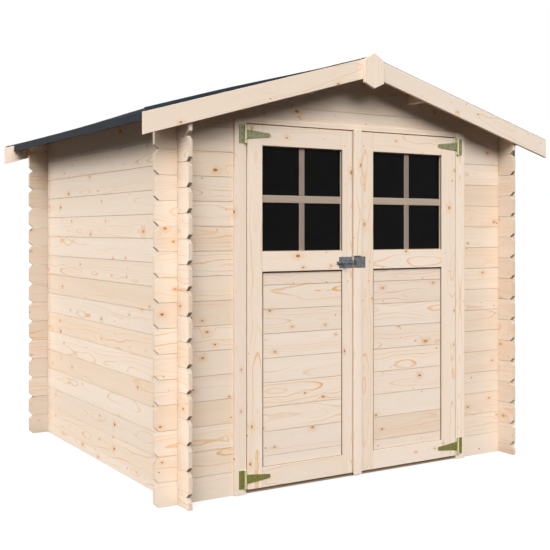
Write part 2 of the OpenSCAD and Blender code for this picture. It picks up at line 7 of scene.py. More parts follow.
import bmesh
import bpy
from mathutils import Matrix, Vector


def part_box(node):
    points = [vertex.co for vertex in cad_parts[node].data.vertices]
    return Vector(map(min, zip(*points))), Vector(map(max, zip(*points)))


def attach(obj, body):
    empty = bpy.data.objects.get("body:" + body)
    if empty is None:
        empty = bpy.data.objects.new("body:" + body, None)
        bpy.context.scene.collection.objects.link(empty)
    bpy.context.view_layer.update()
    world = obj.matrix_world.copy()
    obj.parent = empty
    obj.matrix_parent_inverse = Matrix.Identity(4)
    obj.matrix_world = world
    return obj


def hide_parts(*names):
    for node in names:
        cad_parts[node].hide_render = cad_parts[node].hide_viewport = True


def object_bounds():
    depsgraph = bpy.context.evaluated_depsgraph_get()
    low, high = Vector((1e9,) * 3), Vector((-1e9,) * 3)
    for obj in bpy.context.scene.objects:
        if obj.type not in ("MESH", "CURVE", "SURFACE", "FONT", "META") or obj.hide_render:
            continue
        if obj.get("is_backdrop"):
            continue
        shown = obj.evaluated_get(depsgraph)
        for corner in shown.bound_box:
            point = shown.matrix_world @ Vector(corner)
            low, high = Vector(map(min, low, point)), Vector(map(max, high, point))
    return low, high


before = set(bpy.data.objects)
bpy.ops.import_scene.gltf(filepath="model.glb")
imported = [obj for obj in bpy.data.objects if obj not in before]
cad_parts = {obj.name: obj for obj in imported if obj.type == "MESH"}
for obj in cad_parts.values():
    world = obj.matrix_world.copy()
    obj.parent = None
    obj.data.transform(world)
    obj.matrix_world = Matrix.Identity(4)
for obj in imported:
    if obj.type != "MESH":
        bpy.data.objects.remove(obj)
cad_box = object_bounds()

MM = 0.001

# Camera, fitted to the corners of the shed in the photograph
CAMERA_AT = (-2.852, -4.752, 1.231)
CAMERA_TURN = math.radians(31.69)
IMAGE_PIXELS = 550
FOCAL_PIXELS = 945.4
HORIZON_ROW = 230.4
SENSOR_MM = 36.0

# Soft lamps before the front and left walls and one behind: azimuth, elevation, strength and spread
LAMPS = {
    "soft_0": (-28, 37, 0.3, 36),
    "soft_1": (5, 36, 1.6, 34),
    "soft_2": (42, 38, 2.1, 32),
    "soft_3": (86, 31, 0.96, 32),
    "soft_4": (114, 31, 1.3, 32),
    "rear": (222, 40, 3.0, 60),
}

# Sky and floor
WHITE = (1, 1, 1, 1)
AMBIENT = 0.004
FLOOR_REACH = 60.0
FLOOR_DROP = 0.5 * MM
FLOOR_GLOW = 0.80
FLOOR_SHADE = 0.2
FLOOR_BOUNCE = 0.03

# Woods: colours of pale bands, warm bands, growth lines and knots, and traits other than the usual ones
WOODS = {
    "wall": (("f2e1d0", "ecd7c1", "e4ab62", "b0681a"), {"lines": 0.75, "knots": 0.38, "rim": 0.9}),
    "trim": (("f8e7d6", "f4dfca", "e9b46e", "b67020"), {"lines": 0.65, "knots": 0.36, "varied": 0.03}),
    "panel": (("f6e5d5", "f1dbc6", "e3aa60", "ae661a"), {"lines": 0.75, "knots": 0.42, "rim": 0.9}),
    # The back wall's wood, a darker copy of the wall's: painted shade.
    "back": (("e1d1c1", "dbc8b3", "d49f5c", "a26018"), {"lines": 0.75, "knots": 0.38, "rim": 0.9}),
    "floor": (("e6d2bb", "d9bf9f", "bd8d5b", "8f5a33"), {}),
    # The roof boards' dark wood: painted shade under the eaves.
    "roof": (("9c8468", "8f7658", "785c3c", "5f4326"), {}),
    # The sill's wood, darker than the others: painted shade.
    "sill": (("c6ad90", "b3977a", "91714f", "6d4d31"), {}),
    # The bars' rims are brighter: painted highlight.
    "bar": (
        ("9b8b7d", "90806f", "7b6b5c", "6b5a4b"),
        {"lines": 0.5, "knots": 0.12, "rim": 1.2, "end": "8a7d70"},
    ),
    # The cross bar's wood, a paler copy of the bars' wood, is painted light, and its rims a painted
    # highlight.
    "lit_cross_bar": (("bdab9a", "b19f8d", "9b8876", "826f5e"), {"lines": 0.5, "knots": 0.1, "rim": 1.2}),
    # Strip under each lock rail, near black: painted shadow of the rail.
    "rebate_shadow": (("6b5a4b", "5f4f41", "4c3e32", "43352a"), {"lines": 0.5, "knots": 0.1}),
    # Upward ledge under each door panel and the strip along the panel's left stile, darker: painted shade.
    "ledge_shade": (("988674", "8d7b69", "786654", "645240"), {"lines": 0.5, "knots": 0.1}),
    "bead": (("d8c3ad", "cfb89f", "bb9f80", "a08262"), {"lines": 0.5, "knots": 0.1}),
    # Reveals and rail undersides round the door panels, a darker copy of the trim's wood: painted shade.
    "reveal_shade": (("9c8876", "907c6a", "7c6956", "685543"), {"lines": 0.5, "knots": 0.12}),
}

# Knots: one at most in each cell of a pattern laid on the board, the smaller pins in a pattern of their own
KNOT_CELL = 110 * MM
KNOT_RADII = (3.8 * MM, 8 * MM)
KNOT_LENGTH = 0.62
KNOT_PUSH = 1.8
HALO_REACH = 6.0
PIN_CELL = 60 * MM
PIN_RADII = (2.2 * MM, 4.0 * MM)
PIN_SHARE = 0.4
PIN_SHIFT = 3.7

# Growth rings: their pitch, how it varies by board, and the noises that bend them (scales, detail, reach)
RING_PITCH = 4.2 * MM
RING_SPREAD = 3.5 * MM
RING_WANDER = (
    ((1.1, 3.0, 3.0), 1, 70 * MM),
    ((4.0, 8.0, 8.0), 1, 26 * MM),
    ((16.0, 45.0, 45.0), 2, 3.0 * MM),
)
PATCH_SCALES = (2.5, 12.0, 12.0)
BAND_SCALES = (0.8, 18.0, 18.0)
FIBRE_SCALES = (9.0, 520.0, 520.0)

# Where a board is cut from its tree
GRAIN_RUN = 40.0
PITH_ACROSS = 45 * MM
PITH_DEPTH = (30 * MM, 90 * MM)

# Meshes
WELD = 0.01 * MM
FLAT_ANGLE = math.radians(0.6)
CREASE_ANGLE = math.radians(25)
ROUNDED = (0.2, 0.95)
SAW_GAP = 0.1 * MM
BOARD_JOINT = 1.3 * MM

# How far edges are rounded
WALL_EDGE = 0.7 * MM
TRIM_EDGE = 2.0 * MM
CARCASS_EDGE = 1.6 * MM
FRAME_EDGE = 1.4 * MM
BAR_EDGE = 2.2 * MM
BEAD_EDGE = 1.5 * MM
HINGE_EDGE = 0.5 * MM
BOLT_EDGE = 0.4 * MM

# Doors: the groove that holds panes and panels, the rebates of the panels and the glazing beads
LEAF_GROOVE = 10 * MM
CROSS_BAR_H = 35 * MM
REBATE_H = 6 * MM
REBATE_W = 11 * MM
REBATE_D = 4 * MM
BEAD_W = 3 * MM
BEAD_T = 8 * MM
BEAD_GAP = 0.3 * MM
SMALL_FACE = 1e-4
SIDEWAYS = 0.3
UPWARD = 0.5

# Ironmongery in the CAD model
FORWARD = Vector((0, -1, 0))
HINGE_PIN_X = 659 * MM
HINGE_PLATE_H = 86 * MM
HINGE_STEEL_T = 2.5 * MM
BOLT_STEEL_T = 2 * MM
BOLT_BODIES = {"bolt_plate": "left_door", "bolt_keeper": "right_door", "bolt": "door_bolt"}

# Heads of screws and nails: radius and height, and their domes and cross slots as shares of these
PLATE_SCREW = (3.6 * MM, 1.2 * MM)
STRAP_SCREW = (3.4 * MM, 1.2 * MM)
BOLT_SCREW = (2.8 * MM, 1.0 * MM)
NAIL = (5 * MM, 0.9 * MM)
NAIL_SEGMENTS = 12
HEAD_RINGS = (0.16, 0.34, 0.52, 0.7, 0.88, 1.0)
HEAD_SINK = 0.3 * MM
DOME_POWER = 2.4
SLOT_REACH = 0.6
SLOT_W = 0.09
SLOT_DEPTH = 0.6
SLOT_FLOOR = 0.35

# Places of the screws, and the radians that each is turned by for a step up or a metre across
PLATE_SCREW_OFF = 17 * MM
PLATE_SCREW_STEP = 28 * MM
PLATE_SCREW_TURN = 0.4
STRAP_SCREWS = ((20 * MM, -15 * MM), (34 * MM, 13 * MM), (66 * MM, 0.0), (108 * MM, 0.0))
STRAP_SCREW_TURN = 9.0
BOLT_SCREW_RISE = 19 * MM
BOLT_SCREW_TURN = 1000.0
BOLT_SCREWS = {"bolt_plate": (-118 * MM, -80 * MM), "bolt_keeper": (8 * MM, 33 * MM)}

# Roof felt: laps, ridge cap, and how far it stands up along the verges and runs on over a bargeboard's end
ROOF_PITCH = math.tan(math.radians(16))
FELT_T = 3 * MM
LAPS = (450 * MM, 810 * MM)
LAP_W = 60 * MM
LAP_RISE = 0.7 * FELT_T
RIDGE_CAP = 165 * MM
VERGE_CURL = 35 * MM
VERGE_STEP = 5 * MM
FRONT_LIFT = 13.5 * MM
LIFT_START = 0.15
LIFT_RUN = 0.65
FRONT_SINK = 2.4 * MM
BACK_LIFT = {"left": 4 * MM, "right": 2 * MM}
EAVE_SHARE = 0.8
EAVE_LOOSE = 0.8
EAVE_RUN = 1100 * MM
FLARE = 48 * MM
FLARE_RUN = 60 * MM
FLARE_START = 4 * MM
WAVE_PHASE = {"left": 1.7, "right": 4.1}
SEAM_W = 4 * MM
LAP_PLACES = (-0.2 * MM, 0.5 * MM, 6 * MM)
LAP_SHARES = (1.0, 0.8, 0.6, 0.4)
SHEET_STEP = 45 * MM
SHEET_COLUMNS = 44
EAVE_STEP = 4 * MM
FLAP_COLUMNS = 70
FLAP_SHARES = (0.0, 0.12, 0.3, 0.5, 0.7, 0.88, 1.0)
FLAP_HEAD = 1.5 * MM
FLAP_SLACK = 1.6 * MM
FLAP_WAVE = 1.2 * MM
FLAP_T = 0.9 * FELT_T

# Nails of the felt, along the laps and along the verges
LAP_NAILS = 26
LAP_NAIL_START = 45 * MM
LAP_NAIL_STEP = 80 * MM
LAP_NAIL_IN = 22 * MM
VERGE_NAILS = 13
VERGE_NAIL_START = 40 * MM
VERGE_NAIL_STEP = 88 * MM


# Nodes


def srgb(code):
    """A colour written as rrggbb, in the linear values that nodes use."""
    channels = [int(code[i : i + 2], 16) / 255 for i in (0, 2, 4)]
    linear = [c / 12.92 if c <= 0.04045 else ((c + 0.055) / 1.055) ** 2.4 for c in channels]
    return (*linear, 1.0)


class Graph:
    """The nodes of a material or a world, made in short calls that give back sockets."""

    def __init__(self, owner):
        owner.use_nodes = True
        self.tree = owner.node_tree
        self.tree.nodes.clear()

    def add(self, kind, inputs=None, **settings):
        node = self.tree.nodes.new(kind)
        for key, value in settings.items():
            setattr(node, key, value)
        for key, value in (inputs or {}).items():
            self.feed(node.inputs[key], value)
        return node

    def feed(self, socket, value):
        if isinstance(value, bpy.types.NodeSocket):
            self.tree.links.new(value, socket)
        else:
            socket.default_value = value

    def attribute(self, name):
        return self.add("ShaderNodeAttribute", attribute_name=name)

    def place(self):
        return self.add("ShaderNodeTexCoord").outputs["Object"]

    def split(self, vector):
        return self.add("ShaderNodeSeparateXYZ", {0: vector}).outputs

    def join(self, x, y, z):
        return self.add("ShaderNodeCombineXYZ", {0: x, 1: y, 2: z}).outputs[0]

    def math(self, operation, a, b=0.0, c=0.0):
        return self.add("ShaderNodeMath", {0: a, 1: b, 2: c}, operation=operation).outputs[0]

    def times(self, a, b):
        return self.math("MULTIPLY", a, b)

    def plus(self, value, scale, base):
        """A value times a scale, added to a base."""
        return self.math("MULTIPLY_ADD", value, scale, base)

    def stretch(self, vector, scales):
        return self.add("ShaderNodeVectorMath", {0: vector, 1: scales}, operation="MULTIPLY").outputs[0]

    def noise(self, vector, scale=1.0, detail=2.0, rough=0.5):
        inputs = {"Vector": vector, "Scale": scale, "Detail": detail, "Roughness": rough}
        return self.add("ShaderNodeTexNoise", inputs).outputs["Fac"]

    def remap(self, value, low, high, to_low=0.0, to_high=1.0, smooth=True):
        inputs = {"Value": value, "From Min": low, "From Max": high, "To Min": to_low, "To Max": to_high}
        kind = "SMOOTHSTEP" if smooth else "LINEAR"
        return self.add("ShaderNodeMapRange", inputs, interpolation_type=kind).outputs["Result"]

    def mix(self, factor, a, b, blend="MIX"):
        node = self.add("ShaderNodeMix", data_type="RGBA", blend_type=blend)
        self.feed(node.inputs[0], factor)
        self.feed(node.inputs[6], a)
        self.feed(node.inputs[7], b)
        return node.outputs[2]

    def tint(self, colour, amount):
        """A colour times a brightness."""
        return self.mix(1.0, colour, self.join(amount, amount, amount), "MULTIPLY")


class Surface(Graph):
    """A material with one main shader."""

    def __init__(self, name):
        self.material = bpy.data.materials.new(name)
        super().__init__(self.material)
        self.shader = self.add("ShaderNodeBsdfPrincipled")
        self.add("ShaderNodeOutputMaterial", {"Surface": self.shader.outputs[0]})

    def set(self, inputs):
        for key, value in inputs.items():
            self.feed(self.shader.inputs[key], value)

    def bump(self, height, distance, strength):
        inputs = {"Height": height, "Distance": distance, "Strength": strength}
        self.feed(self.shader.inputs["Normal"], self.add("ShaderNodeBump", inputs).outputs[0])


# Materials


Knots = namedtuple("Knots", "core heart halo radius shade")


def knot_field(g, along, across, share, cell, radii):
    """Knots scattered over a board: how far a point is in each of their parts, their size and shade."""
    least, most = radii
    flat = g.join(g.times(along, KNOT_LENGTH), across, 0.0)
    wobble = g.plus(g.noise(flat, 120, 1), 0.5 * least, -0.25 * least)
    cells = g.add("ShaderNodeTexVoronoi", {"Vector": flat, "Scale": 1 / cell}, voronoi_dimensions="2D")
    distance = g.plus(cells.outputs["Distance"], cell, wobble)
    luck, size, shade = g.split(cells.outputs["Color"])
    present = g.math("LESS_THAN", luck, share)
    radius = g.plus(g.math("POWER", size, 2.5), most - least, least)
    core = g.times(g.remap(distance, radius, g.times(radius, 0.78)), present)
    heart = g.times(g.remap(distance, g.times(radius, 0.6), g.times(radius, 0.15)), present)
    halo = g.times(g.remap(distance, g.times(radius, HALO_REACH), radius), present)
    return Knots(core, heart, halo, radius, shade)


def late_wood(g, grain, pitch, knots):
    """Dark edges of growth rings round a wandering pith, bent by knots, some stronger than others."""
    _, across, depth = g.split(grain)
    bent = g.math("SQRT", g.plus(across, across, g.times(depth, depth)))
    for scales, detail, reach in RING_WANDER:
        bent = g.plus(g.noise(g.stretch(grain, scales), 1, detail), reach, bent)
    bent = g.plus(knots.halo, g.times(knots.radius, KNOT_PUSH), bent)
    rings = g.math("DIVIDE", bent, g.plus(pitch, RING_SPREAD, RING_PITCH))
    share = g.math("FRACT", rings)
    edge = g.times(g.remap(share, 0.62, 0.9), g.remap(share, 1.0, 0.95))
    number = g.add("ShaderNodeTexWhiteNoise", {"W": g.math("FLOOR", rings)}, noise_dimensions="1D")
    weight = g.remap(number.outputs["Value"], 0.25, 0.9, 0.1, 1.0)
    patch = g.remap(g.noise(g.stretch(grain, PATCH_SCALES), 1, 2), 0.3, 0.65, 0.25, 1.0)
    return g.times(g.times(edge, weight), patch)


def knotted(g, colour, line, knot, wide, pins):
    """A wood's colour with halos, knots and pins laid over it."""
    colour = g.mix(g.times(g.times(wide.halo, wide.halo), 0.32), colour, line)
    dark = g.math("SUBTRACT", g.remap(wide.shade, 0, 1, 0.65, 1.0), g.times(wide.heart, 0.15))
    colour = g.mix(g.times(wide.core, dark), colour, knot)
    return g.mix(g.times(pins.core, g.remap(pins.shade, 0, 1, 0.6, 1.0)), colour, knot)


def worked(g, colour, pitch, rim, end):
    """A wood's colour, darker on cut ends, with painted shade on sloped ends and a brightness of its own on
    rounded rims.
    """
    facing_end = g.attribute("end").outputs["Fac"]
    cut = g.remap(facing_end, 0.85, 0.97)
    # Sloped ends are darkened: painted shade.
    sloped_shade = g.times(g.remap(facing_end, 0.3, 0.5), g.remap(facing_end, 0.95, 0.85))
    colour = g.mix(g.times(cut, 0.5), colour, end)
    colour = g.tint(colour, g.remap(sloped_shade, 0, 1, 1.0, 0.7))
    colour = g.tint(colour, g.remap(pitch, 0, 1, 0.95, 1.015, smooth=False))
    # Rounded rims take a brightness of their own: below one it is painted shade and dirt in the joints,
    # above one, as on the bars, a painted highlight.
    return g.tint(colour, g.remap(g.attribute("rim").outputs["Fac"], 0, 1, 1.0, rim, smooth=False))


def spruce(name, pale, warm, line, knot, lines=0.6, knots=0.3, rim=1.0, end="dcc5ae", varied=0.1):
    """Planed softwood with growth rings, knots and fine fibres; each board has its own tone and warmth."""
    g = Surface(name)
    grain = g.attribute("grain").outputs["Vector"]
    along, across, _ = g.split(grain)
    tone, warmth, pitch = g.split(g.attribute("board").outputs["Vector"])
    wide = knot_field(g, along, across, knots, KNOT_CELL, KNOT_RADII)
    pins = knot_field(g, g.math("ADD", along, PIN_SHIFT), across, PIN_SHARE * knots, PIN_CELL, PIN_RADII)
    late = late_wood(g, grain, pitch, wide)
    bands = g.noise(g.stretch(grain, BAND_SCALES), 1, 2)
    warm_share = g.plus(g.remap(bands, 0.35, 0.7), 0.4, g.times(warmth, 0.6))
    fibre = g.noise(g.stretch(grain, FIBRE_SCALES), 1, 3, 0.65)
    strength = g.plus(tone, 0.7 * lines, 0.65 * lines)

    colour = g.mix(warm_share, srgb(pale), srgb(warm))
    colour = g.mix(g.remap(warmth, 0.6, 1.0, 0.0, varied), colour, srgb(line))
    colour = g.mix(g.times(late, strength), colour, srgb(line))
    colour = g.tint(colour, g.remap(fibre, 0.25, 0.75, 0.965, 1.02, smooth=False))
    colour = knotted(g, colour, srgb(line), srgb(knot), wide, pins)
    colour = worked(g, colour, pitch, rim, srgb(end))

    roughness = g.plus(late, -0.10, g.remap(fibre, 0.2, 0.8, 0.58, 0.74))
    height = g.plus(late, 0.6, g.times(fibre, 0.8))
    height = g.plus(wide.core, 0.5, height)
    g.set({"Base Color": colour, "Roughness": roughness, "Specular IOR Level": 0.2})
    g.bump(height, 0.2 * MM, 0.5)
    return g.material


def mineral_felt(name):
    """Bitumen felt faced with slate grains, darker just below each lap, with painted shade on the turned
    edge.
    """
    g = Surface(name)
    place = g.place()
    grains = g.add("ShaderNodeTexVoronoi", {"Vector": place, "Scale": 700.0})
    cloud = g.noise(place, 9, 4, 0.6)
    streak = g.noise(g.stretch(place, (2.0, 30.0, 2.0)), 1, 3)
    speck = g.split(grains.outputs["Color"])[0]
    colour = g.mix(g.remap(cloud, 0.3, 0.7), srgb("272f37"), srgb("333b43"))
    colour = g.mix(g.times(g.remap(speck, 0.6, 1.0), 0.35), colour, srgb("646d76"))
    colour = g.tint(colour, g.remap(streak, 0.3, 0.7, 0.9, 1.06))
    colour = g.mix(g.times(g.attribute("seam").outputs["Fac"], 0.7), colour, srgb("17191b"))
    # The turned edge over the eave is darkened: painted shade.
    turned = g.remap(g.attribute("flap").outputs["Fac"], 0.0, 1.0)
    colour = g.mix(turned, colour, g.mix(0.25, srgb("242528"), colour))
    roughness = g.remap(speck, 0, 1, 0.75, 0.95)
    g.set({"Base Color": colour, "Roughness": roughness, "Specular IOR Level": 0.15})
    g.bump(g.plus(grains.outputs["Distance"], -1.0, cloud), 0.5 * MM, 0.5)
    return g.material


def plating(g, place):
    """How bright a plated surface is, its fine scratches and its clouds."""
    cloud = g.noise(place, 60, 4, 0.6)
    flakes = g.add("ShaderNodeTexVoronoi", {"Vector": place, "Scale": 260.0})
    flake = g.split(flakes.outputs["Color"])[0]
    scratch = g.noise(g.stretch(place, (60.0, 60.0, 1400.0)), 1, 2)
    share = g.remap(g.plus(flake, 0.35, g.times(cloud, 0.65)), 0.2, 0.75)
    return share, scratch, cloud


def metal(g, colour, metallic, scratch, cloud, smoothest, roughest):
    """Finishes a plated surface: rubbed spots are smoother, and scratches show in relief."""
    worn = g.math("ADD", cloud, scratch)
    roughness = g.remap(worn, 0.6, 1.4, smoothest, roughest)
    g.set({"Base Color": colour, "Metallic": metallic, "Roughness": roughness})
    g.bump(worn, 0.12 * MM, 0.4)
    return g.material


def plated_steel(name, dull, bright, metallic, roughness):
    """Pressed and plated steel with cloudy plating."""
    g = Surface(name)
    share, scratch, cloud = plating(g, g.place())
    colour = g.mix(share, srgb(dull), srgb(bright))
    colour = g.tint(colour, g.remap(scratch, 0.3, 0.7, 0.93, 1.05))
    return metal(g, colour, metallic, scratch, cloud, roughness - 0.08, roughness + 0.12)


def olive_zinc(name):
    """Hinge steel passivated olive green; greener low down and paler and greyer higher up, painted light and
    shade, with a rolled knuckle painted pale, a painted highlight.
    """
    g = Surface(name)
    place = g.place()
    x, _, z = g.split(place)
    share, scratch, cloud = plating(g, place)
    # Colour changes with height between the hinges: painted light and shade.
    low = g.mix(share, srgb("626020"), srgb("7e7a38"))
    high = g.mix(share, srgb("757551"), srgb("908f6c"))
    colour = g.mix(g.remap(z, 0.4, 1.4), low, high)
    # The knuckle painted pale: painted highlight.
    off_pin = g.math("ABSOLUTE", g.math("SUBTRACT", g.math("ABSOLUTE", x), HINGE_PIN_X))
    knuckle_highlight = g.remap(off_pin, 7 * MM, 4.5 * MM)
    colour = g.mix(g.times(knuckle_highlight, 0.8), colour, srgb("ddd8a4"))
    colour = g.tint(colour, g.remap(scratch, 0.3, 0.7, 0.94, 1.05))
    return metal(g, colour, 0.25, scratch, cloud, 0.36, 0.55)


def shade_painted_pane(name):
    """Window glass coloured near black, painted shade of the dark room behind it, with a faint film of dust.
    """
    g = Surface(name)
    place = g.place()
    dust = g.noise(place, 14, 5, 0.6)
    # Near-black colour: painted shade of the room behind the glass.
    colour = g.mix(g.remap(dust, 0.35, 0.75), srgb("0b0b0b"), srgb("101010"))
    roughness = g.remap(dust, 0.3, 0.8, 0.04, 0.14)
    g.set({"Base Color": colour, "Roughness": roughness, "Specular IOR Level": 0.06, "Alpha": 0.88})
    g.bump(g.noise(place, 3, 1), 0.3 * MM, 0.15)
    return g.material


# Meshes


def separate(whole):
    """Each loose part of a mesh as a mesh of its own, with whole flat faces."""
    seen = set()
    solids = []
    for first in whole.faces:
        if first in seen:
            continue
        seen.add(first)
        stack = [first]
        made = {}
        solid = bmesh.new()
        while stack:
            face = stack.pop()
            for vert in face.verts:
                if vert not in made:
                    made[vert] = solid.verts.new(vert.co)
            solid.faces.new([made[vert] for vert in face.verts])
            for other in (f for edge in face.edges for f in edge.link_faces):
                if other not in seen:
                    seen.add(other)
                    stack.append(other)
        solid.normal_update()
        bmesh.ops.dissolve_limit(solid, angle_limit=FLAT_ANGLE, verts=solid.verts, edges=solid.edges)
        solids.append(solid)
    return solids


def cad_solids(node):
    """The solids of a CAD node, each as a mesh of its own."""
    whole = bmesh.new()
    whole.from_mesh(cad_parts[node].data)
    bmesh.ops.remove_doubles(whole, verts=whole.verts, dist=WELD)
    solids = separate(whole)
    whole.free()
    return solids


def sliced(solid, axis, low, high):
    """The parts of a solid between two planes across an axis, closed where they are cut."""
    part = solid.copy()
    for at, side in ((low, -1), (high, 1)):
        normal = Vector((0, 0, 0))
        normal[axis] = side
        point = Vector((0, 0, 0))
        point[axis] = at
        geometry = part.verts[:] + part.edges[:] + part.faces[:]
        bmesh.ops.bisect_plane(
            part, geom=geometry, plane_co=point, plane_no=normal, clear_outer=True, dist=WELD
        )
        bmesh.ops.holes_fill(part, edges=[e for e in part.edges if e.is_boundary])
    parts = separate(part)
    part.free()
    return parts


def block(low, high):
    """A solid between two corners."""
    solid = bmesh.new()
    bmesh.ops.create_cube(solid, size=1.0)
    for vert in solid.verts:
        vert.co = [low[i] + (vert.co[i] + 0.5) * (high[i] - low[i]) for i in range(3)]
    solid.normal_update()
    return solid


def positive(axis):
    """An axis turned so that its longest component is positive."""
    longest = max(axis, key=abs)
    return axis if longest > 0 else -axis


def board_axes(solid):
    """Directions along a board, across its broad face and through it."""
    edge = max(solid.edges, key=lambda e: e.calc_length())
    along = positive((edge.verts[1].co - edge.verts[0].co).normalized())
    sides = [f for f in solid.faces if abs(f.normal.dot(along)) < 0.5]
    broad = max(sides, key=lambda f: f.calc_area())
    depth = positive(broad.normal.copy())
    return along, depth.cross(along).normalized(), depth


def rim_edges(solid, depth):
    """Sharp edges round the two broad faces of a board."""
    levels = [v.co.dot(depth) for v in solid.verts]
    found = []
    for edge in solid.edges:
        if len(edge.link_faces) != 2 or edge.calc_face_angle(0) < CREASE_ANGLE:
            continue
        heights = [v.co.dot(depth) for v in edge.verts]
        for level in (min(levels), max(levels)):
            if all(abs(h - level) < 5 * WELD for h in heights):
                found.append(edge)
    return found


def soften(solid, edges, width):
    """Rounds the given edges of a solid."""
    bmesh.ops.bevel(
        solid, geom=edges, offset=width, offset_type="OFFSET", segments=2, profile=0.5,
        affect="EDGES", clamp_overlap=True,
    )


def open_joint(solid, gap):
    """Lowers a board's height by a gap, half above and half below."""
    heights = [v.co.z for v in solid.verts]
    low = min(heights)
    high = max(heights)
    middle = (low + high) / 2
    scale = 1 - gap / (high - low)
    for vert in solid.verts:
        vert.co.z = middle + (vert.co.z - middle) * scale


class Collector:
    """Gathers solids into one mesh, each with its own run of grain."""

    def __init__(self, key):
        self.key = key
        self.verts = []
        self.faces = []
        self.grain = []
        self.board = []
        self.end = []
        self.rim = []
        self.stain = []

    def add(self, solid, axes, stain=None):
        along, across, depth = axes
        first = len(self.verts)
        solid.verts.index_update()
        solid.normal_update()
        middle = sum((v.co for v in solid.verts), Vector()) / len(solid.verts)
        rng = random.Random(self.key + "".join(f" {c:.2f}" for c in middle))
        start = rng.uniform(0, GRAIN_RUN)
        pith_across = across.dot(middle) + rng.uniform(-PITH_ACROSS, PITH_ACROSS)
        pith_depth = depth.dot(middle) + rng.choice((-1, 1)) * rng.uniform(*PITH_DEPTH)
        draw = (rng.random(), rng.random(), rng.random())
        for vert in solid.verts:
            self.verts.append(vert.co[:])
            run = along.dot(vert.co) + start
            self.grain.append((run, across.dot(vert.co) - pith_across, depth.dot(vert.co) - pith_depth))
            self.board.append(draw)
        for face in solid.faces:
            self.faces.append([first + v.index for v in face.verts])
            facing = abs(face.normal.dot(depth))
            self.end.append(abs(face.normal.dot(along)))
            self.rim.append(1.0 if ROUNDED[0] < facing < ROUNDED[1] else 0.0)
            self.stain.append(stain(face) if stain else 0)

    def make(self, name, materials):
        mesh = bpy.data.meshes.new(name)
        mesh.from_pydata(self.verts, [], self.faces)
        for key, values in (("grain", self.grain), ("board", self.board)):
            layer = mesh.attributes.new(key, "FLOAT_VECTOR", "POINT")
            layer.data.foreach_set("vector", [c for value in values for c in value])
        for key, values in (("end", self.end), ("rim", self.rim)):
            layer = mesh.attributes.new(key, "FLOAT", "FACE")
            layer.data.foreach_set("value", values)
        for material in materials:
            mesh.materials.append(material)
        mesh.polygons.foreach_set("material_index", self.stain)
        mesh.update()
        return link(name, mesh)


def link(name, data):
    """An object of the given data, in the scene."""
    piece = bpy.data.objects.new(name, data)
    bpy.context.scene.collection.objects.link(piece)
    return piece


def settle(piece, body, slot, *nodes):
    """Ties a finished piece to its body and hides the CAD nodes that it stands for; its slot is not used."""
    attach(piece, body)
    if nodes:
        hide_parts(*nodes)


def gather(key, solids, edge, joint=0.0, stain=None, front=None):
    """Solids collected for one mesh, with joints opened and the edges of their broad faces rounded."""
    collected = Collector(key)
    for solid in solids:
        axes = board_axes(solid)
        if joint:
            open_joint(solid, joint)
        soften(solid, rim_edges(solid, front or axes[2]), edge)
        collected.add(solid, axes, stain)
        solid.free()
    return collected


def dress(node, body, materials, slot, edge, solids=None, joint=0.0, stain=None):
    """A piece that stands for a CAD node, made of its solids or of the given ones."""
    collected = gather(node, solids or cad_solids(node), edge, joint, stain)
    piece = collected.make(node + "_looks", materials if isinstance(materials, list) else [materials])
    settle(piece, body, slot, node)


# Fasteners


class Heads:
    """Gathers domed heads of screws and nails into one mesh."""

    def __init__(self):
        self.verts = []
        self.faces = []

    def lift(self, ring, angle, height, cross):
        """How far a point of a head stands out; its rim is sunk, and a cross slot runs round the middle."""
        if ring == HEAD_RINGS[-1]:
            return -HEAD_SINK
        dome = height * (1 - ring ** DOME_POWER)
        off_slot = ring * min(abs(math.cos(angle)), abs(math.sin(angle)))
        if cross and ring < SLOT_REACH and off_slot < SLOT_W:
            return dome - SLOT_DEPTH * height
        return dome

    def add(self, at, normal, size, segments=24, cross=False, turn=0.0):
        radius, height = size
        side = Vector((0, 0, 1)) if abs(normal.z) < 0.9 else Vector((0, 1, 0))
        side = (side - normal * side.dot(normal)).normalized()
        other = normal.cross(side)
        first = len(self.verts)
        self.verts.append(at + normal * (height * (SLOT_FLOOR if cross else 1.0)))
        for ring in HEAD_RINGS:
            for step in range(segments):
                angle = 2 * math.pi * step / segments
                turned = angle + turn
                spot = side * (ring * math.cos(turned)) + other * (ring * math.sin(turned))
                self.verts.append(at + spot * radius + normal * self.lift(ring, angle, height, cross))
        for step in range(segments):
            after = (step + 1) % segments
            self.faces.append((first, first + 1 + step, first + 1 + after))
            for k in range(len(HEAD_RINGS) - 1):
                low = first + 1 + k * segments
                high = low + segments
                self.faces.append((low + step, high + step, high + after, low + after))

    def make(self, name, material, body, slot):
        mesh = bpy.data.meshes.new(name)
        mesh.from_pydata([v[:] for v in self.verts], [], self.faces)
        mesh.polygons.foreach_set("use_smooth", [True] * len(self.faces))
        mesh.materials.append(material)
        mesh.update()
        settle(link(name, mesh), body, slot)


# Sub-parts


def walls(wood, back_shade_wood):
    for node in ("left_wall", "right_wall", "front_wall_left", "front_wall_right", "front_gable"):
        dress(node, "shed", wood, "wall_wood", WALL_EDGE, joint=BOARD_JOINT)
    for node in ("back_wall", "back_gable"):
        dress(node, "shed", back_shade_wood, "wall_wood", WALL_EDGE, joint=BOARD_JOINT)


def trim(wood):
    for node in ("left_jamb", "right_jamb", "door_head"):
        dress(node, "shed", wood, "trim_wood", TRIM_EDGE)
    for end in ("front", "back"):
        for node in (f"{end}_left_bargeboard", f"{end}_right_bargeboard", f"{end}_finial"):
            dress(node, "shed", wood, "trim_wood", TRIM_EDGE)


